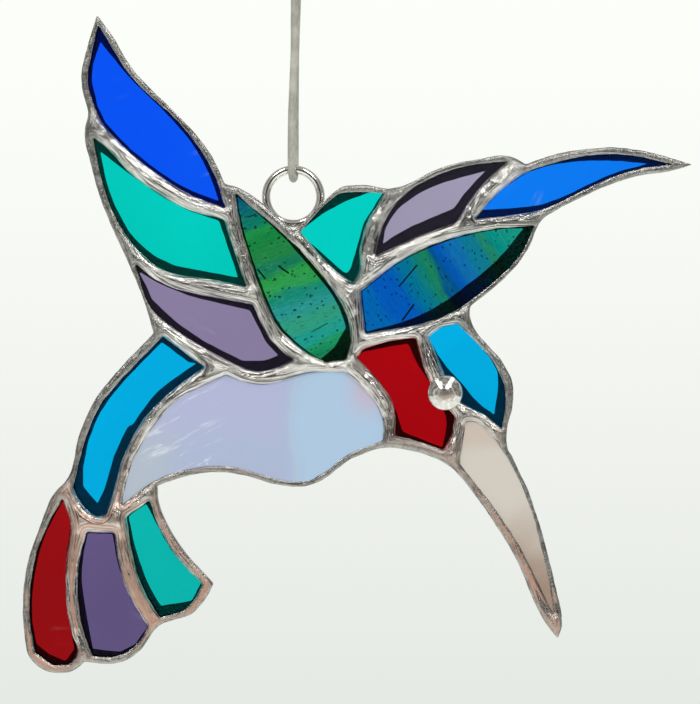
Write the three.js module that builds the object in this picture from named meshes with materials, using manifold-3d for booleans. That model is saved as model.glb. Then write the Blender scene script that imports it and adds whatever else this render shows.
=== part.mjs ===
// Stained glass suncatcher: a hummingbird of sixteen panes in copper foil and solder.
// Millimetres, +Z up, +X to the right, the front faces -Y. The origin is the point where the
// cord's loop rests on its hook. The pieces are placed about the hanging ring's centre and the
// middle of the glass's thickness, and the whole group is moved to the hook at the end.

import * as THREE from 'three';
import { mergeVertices } from 'three/addons/utils/BufferGeometryUtils.js';
import Module from 'manifold-3d';

const wasm = await Module();
wasm.setup();

// ---- driving dimensions ----

const HOOK_TO_RING = 66; // from the hook down to the hanging ring's centre
const GLASS = 3; // sheet glass thickness
const GAP = 0.15; // clearance between glass and foil, all round
const LAP = 0.9; // how far the solder laps over the front of a pane
const RIM_WALL = 0.32; // the least metal round the edge of a pane, where a rim is thin
const RIM_HALF = 1.7; // half the height of the upright wall round the outline
const IN_SLOT = 1; // a depth inside the glass, where the front and back windows overlap
const FIT = 0.3; // gap between pieces that touch
const CHORD_ERROR = 0.2; // how far a straight facet may leave its curve

// The solder bead as seen in section: [distance from the pane's edge, height over mid-plane].
const FRONT_BEAD = [[0, 1.62], [0, 1.85], [0.8, 2.5], [2.8, 3.2]];
const BACK_BEAD = [[0, 1.62], [0, 1.85], [3, 2.9]];

// The rim round the outline: [distance in from the outline, height over mid-plane].
const FRONT_RIM = [[0, RIM_HALF], [0.4, 2.05], [1.6, 2.92]];
const BACK_RIM = [[0, RIM_HALF], [0.4, 2], [1.6, 2.5]];

const EYE = { x: 38, z: -49.2, radius: 4.35, rise: 3.5, back: 2.15 };
const RING = { radius: 6.85, wire: 1.1, y: 3.2, sides: 8, steps: 24 }; // behind the panes
const RING_FOOT = { y: 0.9, z: -7.8, width: 3.2, height: 1.9, depth: 1.9 }; // its solder
const CORD_RADIUS = 0.95;
const KNOT = { x: 0.4, z: 54, width: 3.1, height: 3.1 };

// ---- outlines, in the pattern's plane about the ring's centre: x to the right, z up ----

const corner = (x, z) => [x, z, true];

const OUTLINE = [
  corner(0.3, -8.8), [4.8, -4.5], [10.9, 1.4], [14.4, 2.6], [19, 2.65], corner(25.2, 1.9),
  [28.6, 2.9], [32.5, 5.1], [37.1, 7], [42.5, 8.5], [47.8, 9.2], corner(54.9, 9.7),
  corner(58.2, 7.9), [64.8, 10.2], [70.2, 11.1], [75.5, 11.9], [80.5, 12.1], [85.5, 11.6],
  [94, 9.6], corner(99.8, 7.9),
  [94, 6.3], [85.5, 5], [77.8, 2.2], [70.9, -1.05], [66, -3.3], corner(62.2, -5.9),
  [60.7, -8.9], [58.6, -13.4], [54.8, -18.5], [50.9, -22.2], [47.3, -24.9], corner(44.2, -27.6),
  [44.5, -31.4], [47.5, -35.4], [50.5, -39.1], [53.2, -43], [54.8, -46.6], [55, -51],
  [54.2, -55.4], [53.3, -60], [53.9, -63.2], [57, -69.2], [60.3, -78], [62.3, -84.6],
  [64.2, -91.8], [65.6, -97.8], [66.8, -103.8], [67.2, -107.2], corner(66.2, -110.6),
  [64, -107.9], [62.5, -104.8], [59, -97.7], [56, -90.9], [52.5, -85.1],
  [47.9, -78.2], [43.3, -71.7], [38.5, -67], [32.5, -64.4], [27.5, -63.3], [22.6, -62.9],
  [15.8, -65.1], [11.5, -67.6], [7.3, -70.8], [4.2, -72.3], [0, -72.5], [-5.4, -71.8],
  [-13.1, -69.6], [-20, -69], [-27, -70], corner(-34, -72.4),
  [-33.7, -76.4], [-31.9, -81.4], [-27.7, -88.3], [-21.9, -94.6], corner(-19.9, -97),
  [-21.4, -99.9], [-24.6, -103.8], [-28.9, -105.5], corner(-33.8, -107.6),
  [-37.7, -112.8], [-40, -115], [-43.5, -116.7], [-48.5, -116.8], corner(-52.2, -116.4),
  [-54.2, -118.2], [-56.4, -119], [-60.2, -119.1], [-63.1, -117.3], [-66.1, -114.9],
  [-67.2, -108], [-67.5, -103], [-67, -95.7], [-65.7, -89.5], [-63.5, -83.4],
  [-60.8, -77.3], corner(-58.7, -73.2), [-56, -70], [-54.5, -63.2], [-52.3, -56.9],
  [-48.9, -50], [-43.5, -43.5], [-39.2, -39.1], corner(-34.8, -34.3),
  [-36.6, -28], [-38.7, -23.2], corner(-40.8, -17.4), [-45.2, -7.8], [-48.3, 0],
  [-50.3, 7.2], corner(-52, 16.6), [-51.2, 20.4], [-52.7, 27.2], [-52.7, 31.5],
  [-50.9, 39], corner(-49, 45.2), [-44.5, 38.8], [-39.5, 30.8], [-29.8, 21.1],
  [-21.4, 11.6], corner(-17.2, 3.1), corner(-14.8, 2.4), [-7.3, -3.4],
];

// Each pane: the opening in the solder on the front, and the smaller one on the back.
const PANES = [
  {
    name: 'glass-near-wing-tip-cobalt', color: 0x0040eb,
    front: [
      corner(-48.7, 42.8), [-43, 33.8], [-39.7, 29.1], [-29.8, 19.5], [-25.2, 14.5],
      [-20.2, 6.5], corner(-17, -3), [-23.3, -0.5], [-29.1, 2.2], [-39.5, 9.9],
      [-45.6, 15.7], [-48.9, 20.5], [-50.9, 27.5], [-51.1, 31.5],
    ],
    back: [
      corner(-48.3, 38.8), [-43.6, 32.8], [-39.9, 28.8], [-30.2, 19.1], [-25.9, 13.9],
      [-21.2, 5.9], corner(-18.6, -1.2), [-28.8, 3.1], [-39.2, 10.7], [-45.4, 16.6],
      [-48.4, 21], [-50.3, 27.6], [-50.2, 33],
    ],
  },
  {
    name: 'glass-near-wing-teal', color: 0x00cbc1,
    front: [
      corner(-50, 14.6), [-47.2, 12.6], [-39.8, 4.9], [-30.6, -1.2], [-25.2, -3.7],
      corner(-17.3, -6), [-13.8, -17], corner(-11.7, -22.7), [-20, -20.8], [-29.5, -19.4],
      [-35, -16.9], [-40, -11.9], [-43.7, -6.6], [-47.2, 1.8],
    ],
    back: [
      corner(-48.3, 11.2), [-44.4, 8.2], [-39.6, 4.6], [-30.5, -1.4], [-25.1, -3.9],
      corner(-18.6, -6.1), [-15.2, -16.5], corner(-13.7, -20.4), [-24.6, -18.4],
      [-29.5, -17.4], [-33.9, -15.3], [-39.3, -11], [-42.8, -6], [-46.3, 2.1],
    ],
  },
  {
    name: 'glass-near-wing-lavender', color: 0x8c7fa5,
    front: [
      corner(-39.4, -17.1), [-35, -20.4], [-30, -22.9], [-19.2, -25.5], corner(-10.1, -27.1),
      [-7.3, -32.7], [-4.6, -37.1], corner(-0.2, -40.9), [-3.8, -42.7], [-8.1, -43.8],
      [-11.8, -43.2], [-20, -39.2], [-29.2, -32.9], corner(-33.6, -30), [-36.2, -26.9],
    ],
    back: [
      corner(-38.5, -19), [-30, -23.4], [-19, -26.4], corner(-10.9, -28.6), [-6.6, -36.8],
      corner(-3.7, -39.8), [-7.4, -41.2], corner(-12.6, -41.2), [-21.5, -36.7],
      [-28.3, -32], corner(-32.1, -29), [-35.2, -25.9],
    ],
  },
  {
    name: 'glass-back-green', color: 0x28a04e,
    front: [
      corner(-14.4, 0.8), [-13.4, -5.4], [-9.1, -20.4], [-4.6, -31.2], [-1.5, -35],
      [2.3, -38.3], corner(8.1, -41.6), corner(13.1, -40.8), [14.4, -36.2], [13.7, -31.5],
      [11.5, -25.8], [4.2, -16.2], [-3.5, -8.8],
    ],
    back: [
      corner(-14.1, 0.2), [-13.1, -5.4], [-8.6, -20.3], [-4, -31], [-1, -34.7],
      [2.6, -38], corner(6.9, -40.9), [10.4, -37.7], corner(13.2, -32.9), [10.6, -26.1],
      [3.5, -16.8], [-3.7, -9],
    ],
  },
  {
    name: 'glass-shoulder-teal', color: 0x00d0c8,
    front: [
      corner(1.8, -9), [7.6, -2.6], [10.9, 0.2], [14.8, 1], corner(22.8, 0.65),
      [19.6, -4.6], [18.1, -7.4], [16.7, -13.5], [16.4, -18.8], corner(15, -21.7),
      [10.9, -18.8], [4.4, -11.6],
    ],
    back: [
      corner(1.5, -9), [3.6, -7.3], [7, -4.7], [11.4, -2.1], [15.4, -0.5], [18.9, 0.95],
      corner(22.6, 1.2), [19.1, -4.2], [17.4, -7.4], [16, -12.7], corner(14.5, -17.9),
      corner(13.5, -19.4), [12.4, -18.8], [6.8, -13.5],
    ],
  },
  {
    name: 'glass-far-wing-mauve', color: 0xa098b6,
    front: [
      corner(20.7, -14.9), [22.3, -7.8], [25.2, -2.6], [30.2, 2.1], [38.6, 6.2],
      [46, 7.9], corner(53.8, 8.7), [48.6, 4.3], [43.6, -2], corner(40.9, -6.5),
      [33.2, -9.5], [26.3, -12.2],
    ],
    back: [
      corner(22.4, -12), [23.4, -7.6], [26.7, -2.8], [34.8, 2.3], corner(48.2, 6.4),
      [42.7, 0.4], corner(40.2, -3), [32, -6.9], [25.4, -9.9],
    ],
  },
  {
    name: 'glass-far-wing-tip-azure', color: 0x0a7dfa,
    front: [
      corner(45.5, -5.8), [49.8, -0.8], [55.5, 4], [60.5, 6.8], [70.9, 9.6], [78, 10.5],
      [86.3, 9.9], corner(94.8, 7.9), [86.3, 6.7], [78.6, 4.2], [67.1, -1.2], [62, -3.4],
      [53.6, -4.9],
    ],
    back: [
      corner(47.4, -3.4), [52, 1.2], [59, 6], [67, 8.2], [77, 9], corner(88.8, 8.2),
      [81, 6], [70.6, 1.4], [64, -1.5], [58.5, -2.6],
    ],
  },
  {
    name: 'glass-nape-streaked', color: 0x0a62c0,
    front: [
      corner(17, -23.8), [25.5, -17.2], [30.2, -14.5], [39.4, -10.7], [50.5, -8.2],
      corner(60.4, -7.4), [56.7, -14.9], [49.4, -22.2], [41.7, -27.5], [37.5, -30.2],
      [29.4, -32.4], corner(18.1, -34.3), [17.4, -28.8],
    ],
    back: [
      corner(17.2, -23.9), [25.6, -17.4], [30.3, -14.7], [39.5, -10.9], [50.6, -8.4],
      corner(57.7, -8), [50.6, -16.4], [40.9, -24.2], [35.5, -27.8], [29, -30.9],
      corner(18.4, -33.9), [17.7, -28.8],
    ],
  },
  {
    name: 'glass-throat-red', color: 0xac050f,
    front: [
      corner(16, -40.3), [17.9, -38.3], [25, -36.1], corner(30.7, -35.5), [32, -40.5],
      [33.6, -45.2], [36.2, -50.1], corner(40.5, -55.2), [39.4, -60], corner(37.5, -63.4),
      [32.5, -61.7], corner(25.5, -59.9), [25.6, -55.5], [24.2, -49.8], [20.4, -45.1],
    ],
    back: [
      corner(16.2, -40.3), [18.4, -38.7], corner(28.8, -36.9), [31.4, -42.3], [34, -46.2],
      [37, -52.5], [38.5, -56.5], corner(37.4, -62.9), corner(27.5, -59), [25.9, -54.3],
      [23.7, -49.1], [19.6, -44.3],
    ],
  },
  {
    name: 'glass-head-sky', color: 0x00aae1,
    front: [
      corner(34, -35.3), [36.3, -33.3], corner(41.1, -31.9), [44.8, -35.6], [49.4, -40.6],
      [52.2, -45.6], [53.2, -50.5], corner(52.2, -58.2), [48.3, -55.1], [44.8, -52.9],
      corner(41.4, -50.8), [39.4, -47.4], [37.1, -42.2],
    ],
    back: [
      corner(33.9, -35.1), [36, -33], corner(41.3, -31.5), [44.4, -34.9], [48.9, -39.9],
      [50.5, -42.4], [51.5, -46.2], corner(50.4, -54.8), [44.9, -50.2], [42.2, -46.7],
      [39.7, -44.1], [37.4, -41.4], [35.3, -37.9],
    ],
  },
  {
    name: 'glass-beak-pink', color: 0xdcd4d0,
    front: [
      corner(41.7, -66.9), [42.6, -60.7], corner(43.2, -56.5), [46, -56.7], [50.6, -61.1],
      [54.7, -67.6], [58.2, -74.8], [60.5, -81.7], [63.6, -94.2], corner(65.2, -104.6),
      [62, -98.9], [56.8, -88.3], [52.2, -80.7],
    ],
  },
  {
    name: 'glass-rump-sky', color: 0x00aae1,
    front: [
      corner(-32.5, -35.1), [-28.1, -38.2], corner(-22.3, -42.7), [-26.9, -46],
      [-33.1, -51.2], [-38.5, -57.4], [-43.1, -67], [-45.9, -77], [-47.4, -79.8],
      [-50.4, -79.3], [-53.1, -76.4], corner(-55, -72.8), [-52.5, -62.7], [-48.9, -53.5],
      [-44.2, -47.3],
    ],
    back: [
      corner(-32.9, -36.5), corner(-26.2, -41.6), corner(-24.2, -41.8), [-34, -49],
      corner(-40, -56.9), corner(-41.5, -57.7), [-45, -65.4], [-47.2, -73],
      corner(-49, -77), corner(-52.7, -72.6), [-51.7, -63.1], [-46.5, -51.3],
    ],
  },
  {
    name: 'glass-belly-opal', color: 0xa8b8dc,
    front: [
      corner(-42.7, -77.2), [-41.4, -70.4], [-38.5, -63.1], [-33.1, -55.4], [-27.7, -50.2],
      corner(-16.7, -44.8), [-12.3, -46.5], [-6.5, -47.1], [0.4, -45.3], [4.5, -44.2],
      corner(12.9, -44.1), [18.5, -49.1], [22, -54.5], corner(22.5, -61.1), [17.9, -62.8], [13.1, -65.1],
      [7.3, -69.4], [3.6, -71.2], [-2.3, -71.1], [-11.9, -68.4], [-19.2, -67.5],
      [-25.5, -68.2], [-31, -69.7], [-35.4, -71.6], [-39.4, -74.6],
    ],
  },
  {
    name: 'glass-tail-red', color: 0x940e14,
    front: [
      corner(-57.7, -75.7), [-55.7, -82.6], [-56.8, -92.6], [-56.6, -101.9],
      [-55.1, -109.9], [-53.8, -114], corner(-55.8, -117.1), corner(-59.8, -117.4),
      corner(-64.5, -114.2), [-65.9, -105], [-65.5, -96.5], [-64, -88.8], [-60.8, -81.3],
    ],
    back: [
      corner(-57.7, -76.2), [-55.8, -82.6], [-56.9, -92.6], [-56.7, -101.9],
      [-55.2, -109.9], corner(-54.8, -113.4), corner(-57, -116.4), [-61.2, -114.7],
      corner(-64.2, -112.2), [-65.4, -104.9], [-64.6, -95.7], [-62.9, -86.9],
    ],
  },
  {
    name: 'glass-tail-purple', color: 0x65558a,
    front: [
      corner(-51.5, -84), corner(-44.6, -84.3), [-43.4, -92.6], [-40.8, -100.3],
      corner(-36.2, -107.8), [-39.4, -112.4], [-44, -115], corner(-50, -115.1),
      [-52.5, -108.4], [-53.8, -99.5], [-53.3, -90.7],
    ],
    back: [
      corner(-51.5, -84.4), corner(-45.2, -84.6), [-43.9, -92], [-41, -100.3],
      corner(-36.5, -107.8), [-39.6, -112.2], corner(-43.3, -114.1), corner(-50.2, -113.4),
      [-51.6, -105.7], [-52.9, -96], [-52.4, -89],
    ],
  },
  {
    name: 'glass-tail-teal', color: 0x0ab6af,
    front: [
      corner(-41.6, -80.2), corner(-35.9, -76.1), [-33.5, -82.7], [-29.2, -90],
      corner(-22.6, -97.1), [-25.9, -102.4], [-29.6, -104.1], corner(-33.2, -105.5),
      [-36.9, -99.2], [-39.6, -91.9],
    ],
    back: [
      corner(-41.2, -80.2), corner(-36.8, -77), [-33.8, -82.9], [-29.4, -90.1],
      corner(-23, -96.7), corner(-25.4, -101.3), corner(-33.1, -102.6), [-36.2, -97.2],
      [-39.2, -89],
    ],
  },
];

// The cord's way about the ring's plane: up the front strand, and down the rear one.
const FRONT_STRAND = [
  [-0.3, -2.7, 5.6], [-0.4, -3.8, 8.3], [-0.42, -3.4, 12.5], [-0.35, -2.5, 20],
  [-0.05, -1.7, 28], [0.25, -1.15, 36], [0.3, -1, 44], [0.2, -0.98, 50.6],
];
const REAR_STRAND = [
  [0.3, 2.7, 5.6], [0.35, 3.8, 8.3], [0.38, 3.4, 12.5], [0.4, 2.5, 20],
  [0.45, 1.7, 28], [0.55, 1.15, 36], [0.8, 1, 44], [1, 0.98, 50.6],
];
const UNDER_RING = [0, 0, 4.5];
const HALF_LOOP = [
  [1.1, 0, 57.4], [2.5, 0, 59.4], [3.7, 0, 61.9], [3.6, 0, 64.6], [2.1, 0, 66.4],
];
const LOOP_TOP = [0, 0, HOOK_TO_RING + CORD_RADIUS];

// ---- flat outlines ----

// Splits a closed outline at its corners into the smooth stretches between them.
function stretches(outline) {
  const first = outline.findIndex((point) => point[2]);
  const turned = [...outline.slice(first), ...outline.slice(0, first), outline[first]];
  const found = [];
  let run = [turned[0]];
  for (const point of turned.slice(1)) {
    run.push(point);
    if (point[2]) {
      found.push(run);
      run = [point];
    }
  }
  return found;
}

// Keeps the points of a line that are further than the chord error from its facets.
function thinned(line) {
  const [start, end] = [line[0], line[line.length - 1]];
  const along = end.clone().sub(start).normalize();
  let farthest = 0;
  let away = CHORD_ERROR;
  line.forEach((point, i) => {
    const distance = Math.abs(point.clone().sub(start).cross(along));
    if (distance > away) {
      farthest = i;
      away = distance;
    }
  });
  if (!farthest) return [start, end];
  return [...thinned(line.slice(0, farthest + 1)).slice(0, -1), ...thinned(line.slice(farthest))];
}

// The facets of a closed outline, anticlockwise seen from the front.
function facets(outline) {
  const points = stretches(outline).flatMap((run) => {
    const curve = new THREE.SplineCurve(run.map(([x, z]) => new THREE.Vector2(x, z)));
    return thinned(curve.getPoints(12 * run.length)).slice(0, -1);
  });
  return THREE.ShapeUtils.isClockWise(points) ? points.reverse() : points;
}

const RIM = facets(OUTLINE);

// Moves the points of a closed outline outwards, by one distance or by one each, with its
// sharpest tips cut short.
function widened(points, distance) {
  const longest = 1.6;
  const distances = [distance].flat();
  return points.map((point, i) => {
    const before = points.at(i - 1);
    const after = points[(i + 1) % points.length];
    const incoming = point.clone().sub(before).normalize();
    const outgoing = after.clone().sub(point).normalize();
    const outward = incoming.clone().add(outgoing).normalize();
    const reach = Math.min(1 / Math.max(outward.dot(outgoing), 0.01), longest);
    const normal = new THREE.Vector2(outward.y, -outward.x);
    return point.clone().addScaledVector(normal, reach * distances[i % distances.length]);
  });
}

function distanceTo(outline, point) {
  return Math.min(...outline.map((start, i) => {
    const line = outline[(i + 1) % outline.length].clone().sub(start);
    const share = THREE.MathUtils.clamp(point.clone().sub(start).dot(line) / line.lengthSq(), 0, 1);
    return start.clone().addScaledVector(line, share).distanceTo(point);
  }));
}

// ---- solids ----

function toManifold(geometry) {
  const bare = geometry.index ? geometry.toNonIndexed() : geometry.clone();
  bare.deleteAttribute('normal');
  bare.deleteAttribute('uv');
  const merged = mergeVertices(bare, 1e-4);
  return new wasm.Manifold(new wasm.Mesh({
    numProp: 3,
    vertProperties: new Float32Array(merged.attributes.position.array),
    triVerts: new Uint32Array(merged.index.array),
  }));
}

function fromManifold(solid) {
  const { vertProperties, triVerts } = solid.getMesh();
  const geometry = new THREE.BufferGeometry();
  geometry.setAttribute('position', new THREE.BufferAttribute(vertProperties, 3));
  geometry.setIndex(new THREE.BufferAttribute(triVerts, 1));
  return geometry;
}

// A closed solid through a stack of equal rings, from the front to the back.
function layered(rings) {
  const count = rings[0].points.length;
  const positions = rings.flatMap(({ points, y }) => points.flatMap((p) => [p.x, y, p.y]));
  const index = [];
  const last = (rings.length - 1) * count;
  for (const [a, b, c] of THREE.ShapeUtils.triangulateShape(rings[0].points, [])) index.push(a, b, c);
  for (const [a, b, c] of THREE.ShapeUtils.triangulateShape(rings.at(-1).points, [])) {
    index.push(last + c, last + b, last + a);
  }
  for (let ring = 0; ring < last; ring += count) {
    for (let i = 0; i < count; i++) {
      const j = (i + 1) % count;
      const [a, b, c, d] = [ring + i, ring + j, ring + count + j, ring + count + i];
      index.push(a, d, c, a, c, b);
    }
  }
  const geometry = new THREE.BufferGeometry();
  geometry.setAttribute('position', new THREE.BufferAttribute(new Float32Array(positions), 3));
  geometry.setIndex(index);
  return geometry;
}

// The space that a pane's window leaves in the solder, flaring along the beads' flanks.
function windowCutter(front, back) {
  const flare = (points, bead, side) => bead.map(([out, height]) => (
    { points: widened(points, out), y: side * height }
  ));
  return [
    layered([...flare(front, FRONT_BEAD, -1).reverse(), { points: front, y: IN_SLOT }]),
    layered([{ points: back, y: -IN_SLOT }, ...flare(back, BACK_BEAD, 1)]),
  ];
}

// A pane's own outline, grown by the clearance where it is the slot that holds its edges.
// It runs under the solder by the lap, or by what a thin rim leaves room for.
function paneOutline(front, clearance) {
  const room = front.map((point) => distanceTo(RIM, point) - RIM_WALL - GAP);
  return widened(front, room.map((space) => Math.min(space, LAP) + clearance));
}

function paneBlank(front, clearance) {
  const points = paneOutline(front, clearance);
  const half = GLASS / 2 + clearance;
  return layered([{ points, y: -half }, { points, y: half }]);
}

// The metal before the windows are cut: a low rim that rises inwards, towards the seams.
function solderBody() {
  const side = (profile, sign) => profile.map(([inset, height]) => (
    { points: widened(RIM, -inset), y: sign * height }
  ));
  return layered([...side(FRONT_RIM, -1).reverse(), ...side(BACK_RIM, 1)]);
}

function ringShape(wire) {
  return new THREE.TorusGeometry(RING.radius, wire, RING.sides, RING.steps)
    .rotateX(Math.PI / 2).translate(0, RING.y, 0);
}

// The lump of solder that holds the ring's foot to the back of the notch.
function ringFoot() {
  const { width, height, depth, y, z } = RING_FOOT;
  return new THREE.SphereGeometry(1, 10, 7).scale(width, depth, height).translate(0, y, z);
}

// The seat that the eye's flat back rests on.
function eyeSeat() {
  const depth = 4;
  const seat = new THREE.CylinderGeometry(EYE.radius + FIT, EYE.radius + FIT, depth, 24);
  return seat.translate(EYE.x, -(EYE.back - FIT + depth / 2), EYE.z);
}

function solderLattice() {
  let metal = toManifold(solderBody()).add(toManifold(ringFoot()));
  for (const pane of PANES) {
    const front = facets(pane.front);
    const back = facets(pane.back ?? pane.front);
    for (const cutter of [...windowCutter(front, back), paneBlank(front, GAP)]) {
      metal = metal.subtract(toManifold(cutter));
    }
  }
  for (const seat of [eyeSeat(), ringShape(RING.wire + FIT)]) {
    metal = metal.subtract(toManifold(seat));
  }
  return fromManifold(metal);
}

// A domed bead with a flat back, its round side to the front.
function eyeBead() {
  const profile = [new THREE.Vector2(0, 0)];
  const steps = 5;
  for (let i = 0; i <= steps; i++) {
    const angle = (i / steps) * (Math.PI / 2);
    profile.push(new THREE.Vector2(EYE.radius * Math.cos(angle), EYE.rise * Math.sin(angle)));
  }
  profile.at(-1).x = 0;
  return new THREE.LatheGeometry(profile, 20).rotateX(Math.PI)
    .translate(EYE.x, -EYE.back, EYE.z);
}

function cordTube(route, steps) {
  const sides = 8;
  const section = new THREE.Shape();
  section.absarc(0, 0, CORD_RADIUS, 0, 2 * Math.PI);
  const path = new THREE.CatmullRomCurve3(route.map((point) => new THREE.Vector3(...point)));
  return new THREE.ExtrudeGeometry(section, {
    extrudePath: path, steps, curveSegments: sides / 2, bevelEnabled: false,
  }).translate(0, RING.y, 0);
}

function cordStrands() {
  return cordTube([...[...FRONT_STRAND].reverse(), UNDER_RING, ...REAR_STRAND], 40);
}

function cordLoop() {
  const other = HALF_LOOP.map(([x, y, z]) => [-x, y, z]);
  return cordTube([...HALF_LOOP, LOOP_TOP, ...other.reverse()], 16);
}

// The overhand knot that ties the cord into its loop, as one rounded lump.
function cordKnot() {
  const { x, z, width, height } = KNOT;
  return new THREE.SphereGeometry(1, 12, 8).scale(width, width, height).translate(x, RING.y, z);
}

// ---- the suncatcher ----

const suncatcher = new THREE.Group();
suncatcher.position.set(0, -RING.y, -HOOK_TO_RING);

function add(name, geometry, color, roughness, metalness) {
  const mesh = new THREE.Mesh(geometry, new THREE.MeshStandardMaterial({ color, roughness, metalness }));
  mesh.name = name;
  suncatcher.add(mesh);
}

for (const { name, front, color } of PANES) add(name, paneBlank(facets(front), 0), color, 0.08, 0);
add('solder-lattice', solderLattice(), 0xc9c5be, 0.28, 1);
add('eye-bead', eyeBead(), 0xd8d6d2, 0.12, 1);
add('hanging-ring', ringShape(RING.wire), 0xc4c2bd, 0.25, 1);
add('cord-strands', cordStrands(), 0xa5a39b, 0.7, 0);
add('cord-knot', cordKnot(), 0xa5a39b, 0.7, 0);
add('cord-loop', cordLoop(), 0xa5a39b, 0.7, 0);

export default suncatcher;
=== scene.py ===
"""The looks of the stained glass suncatcher: a hummingbird of sixteen panes in copper foil and
solder, hung by a wire ring and a knotted cord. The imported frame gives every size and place."""

import math

import bmesh
import bpy
import numpy as np
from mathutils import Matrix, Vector, kdtree, noise
from mathutils.geometry import delaunay_2d_cdt


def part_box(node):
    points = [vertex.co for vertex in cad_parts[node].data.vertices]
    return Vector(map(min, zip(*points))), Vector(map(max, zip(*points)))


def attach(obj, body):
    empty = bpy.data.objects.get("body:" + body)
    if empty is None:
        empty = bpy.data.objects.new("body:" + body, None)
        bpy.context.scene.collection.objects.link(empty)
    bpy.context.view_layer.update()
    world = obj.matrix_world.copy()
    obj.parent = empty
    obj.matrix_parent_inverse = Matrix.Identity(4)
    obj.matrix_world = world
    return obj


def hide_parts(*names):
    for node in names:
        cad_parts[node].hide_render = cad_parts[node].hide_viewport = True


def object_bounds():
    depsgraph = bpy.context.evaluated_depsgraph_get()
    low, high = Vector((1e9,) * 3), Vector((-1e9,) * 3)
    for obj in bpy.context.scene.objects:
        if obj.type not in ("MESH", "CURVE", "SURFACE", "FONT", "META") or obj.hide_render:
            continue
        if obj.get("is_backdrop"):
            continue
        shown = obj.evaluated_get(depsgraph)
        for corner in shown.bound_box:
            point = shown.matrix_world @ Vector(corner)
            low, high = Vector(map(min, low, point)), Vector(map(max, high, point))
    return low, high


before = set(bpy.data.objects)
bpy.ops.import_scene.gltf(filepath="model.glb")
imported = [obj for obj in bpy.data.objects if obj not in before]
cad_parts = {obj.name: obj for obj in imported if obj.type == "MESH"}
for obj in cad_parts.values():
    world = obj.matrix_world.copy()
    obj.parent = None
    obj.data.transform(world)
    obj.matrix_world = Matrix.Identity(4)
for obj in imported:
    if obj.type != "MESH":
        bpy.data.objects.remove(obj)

bl_info = {
    "name": "Stained Glass Suncatcher",
    "version": (1, 0, 0),
    "blender": (4, 5, 0),
    "location": "3D View > Sidebar > Suncatcher",
    "description": "Models the finish of a copper foil suncatcher around its frame",
    "category": "Object",
}

MM = 0.001


def middle(box):
    """The centre of a box."""
    return (box[0] + box[1]) / 2


def half_size(box):
    """Half of a box's extent along each axis."""
    return (box[1] - box[0]) / 2


RING_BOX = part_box("hanging-ring")
RING_CENTRE = middle(RING_BOX)
PANE_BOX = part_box("glass-belly-opal")
EYE_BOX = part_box("eye-bead")
KNOT_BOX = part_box("cord-knot")
GLASS_MIDDLE = middle(PANE_BOX).y
GLASS_HALF = half_size(PANE_BOX).y


def linear(hexcode):
    """The linear colour of a display colour written as 0xRRGGBB."""
    shares = [(hexcode >> shift & 255) / 255 for shift in (16, 8, 0)]
    return tuple(
        s / 12.92 if s <= 0.04045 else ((s + 0.055) / 1.055) ** 2.4 for s in shares
    )


# ---- what a user would change ----


def length(name, description, default, **more):
    """A length in metres for the sidebar."""
    return bpy.props.FloatProperty(
        name=name, description=description, default=default, min=0.0,
        unit="LENGTH", precision=5, **more,
    )


def colour(name, description, hexcode):
    """A colour for the sidebar."""
    return bpy.props.FloatVectorProperty(
        name=name, description=description, default=linear(hexcode),
        subtype="COLOR", size=3, min=0.0, max=1.0,
    )


class SuncatcherSizes(bpy.types.PropertyGroup):
    """Sizes of the metalwork and the cord."""

    skin_step: length("Mesh step", "Spacing of the points over the solder", 0.36 * MM)
    bead_spread: length("Bead spread", "How gently a bead rises from its edges", 1.0 * MM)
    front_lift: bpy.props.FloatProperty(
        name="Front lift", description="Height of the front beads against their width",
        default=0.95, min=0.0, subtype="FACTOR",
    )
    back_lift: bpy.props.FloatProperty(
        name="Back lift", description="Height of the back beads against their width",
        default=0.6, min=0.0, subtype="FACTOR",
    )
    foil_clearance: length("Foil clearance", "Gap between the foil and the glass", 0.06 * MM)
    wrinkle: length("Wrinkles", "Depth of the creases along the thin rims", 0.11 * MM)
    cord_diameter: length("Cord diameter", "Thickness of the hanging cord", 1.9 * MM)


class SuncatcherColours(bpy.types.PropertyGroup):
    """Colours of the glass, the metal and the cord."""

    cobalt: colour("Cobalt", "The near wing's tip", 0x0753FC)
    teal: colour("Teal", "The near wing's middle feather", 0x00CBC1)
    lavender: colour("Lavender", "The near wing's lower feather", 0x8C7FA5)
    shoulder_teal: colour("Shoulder teal", "The small pane beside the ring", 0x00D0C8)
    mauve: colour("Mauve", "The far wing's upper feather", 0xA098B6)
    azure: colour("Azure", "The far wing's tip", 0x0A78F8)
    ruby: colour("Ruby", "The throat", 0xAC050F)
    sky: colour("Sky", "The head and the rump", 0x00B0EB)
    dark_red: colour("Dark red", "The tail's left feather", 0x9D0E14)
    purple: colour("Purple", "The tail's middle feather", 0x68598A)
    deep_teal: colour("Deep teal", "The tail's right feather", 0x0AC0BC)
    belly: colour("Belly", "The belly's opal glass", 0xA0ABC8)
    beak: colour("Beak", "The beak's opal glass", 0xC4BCB5)
    solder: colour("Solder", "The bright solder", 0xE8E6E2)
    foil: colour("Foil backing", "The foil's black backing", 0x0A0B0C)
    cord: colour("Cord", "The hanging cord", 0xA5A39B)


class SuncatcherStudio(bpy.types.PropertyGroup):
    """The camera and the studio around the suncatcher."""

    distance: length("Camera distance", "From the camera to the glass", 0.9)
    view_height: length("View height", "Height of the view at the glass", 0.176)
    floor_drop: length("Floor", "How far the floor lies below the hook", 0.46)


# ---- nodes ----


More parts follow.
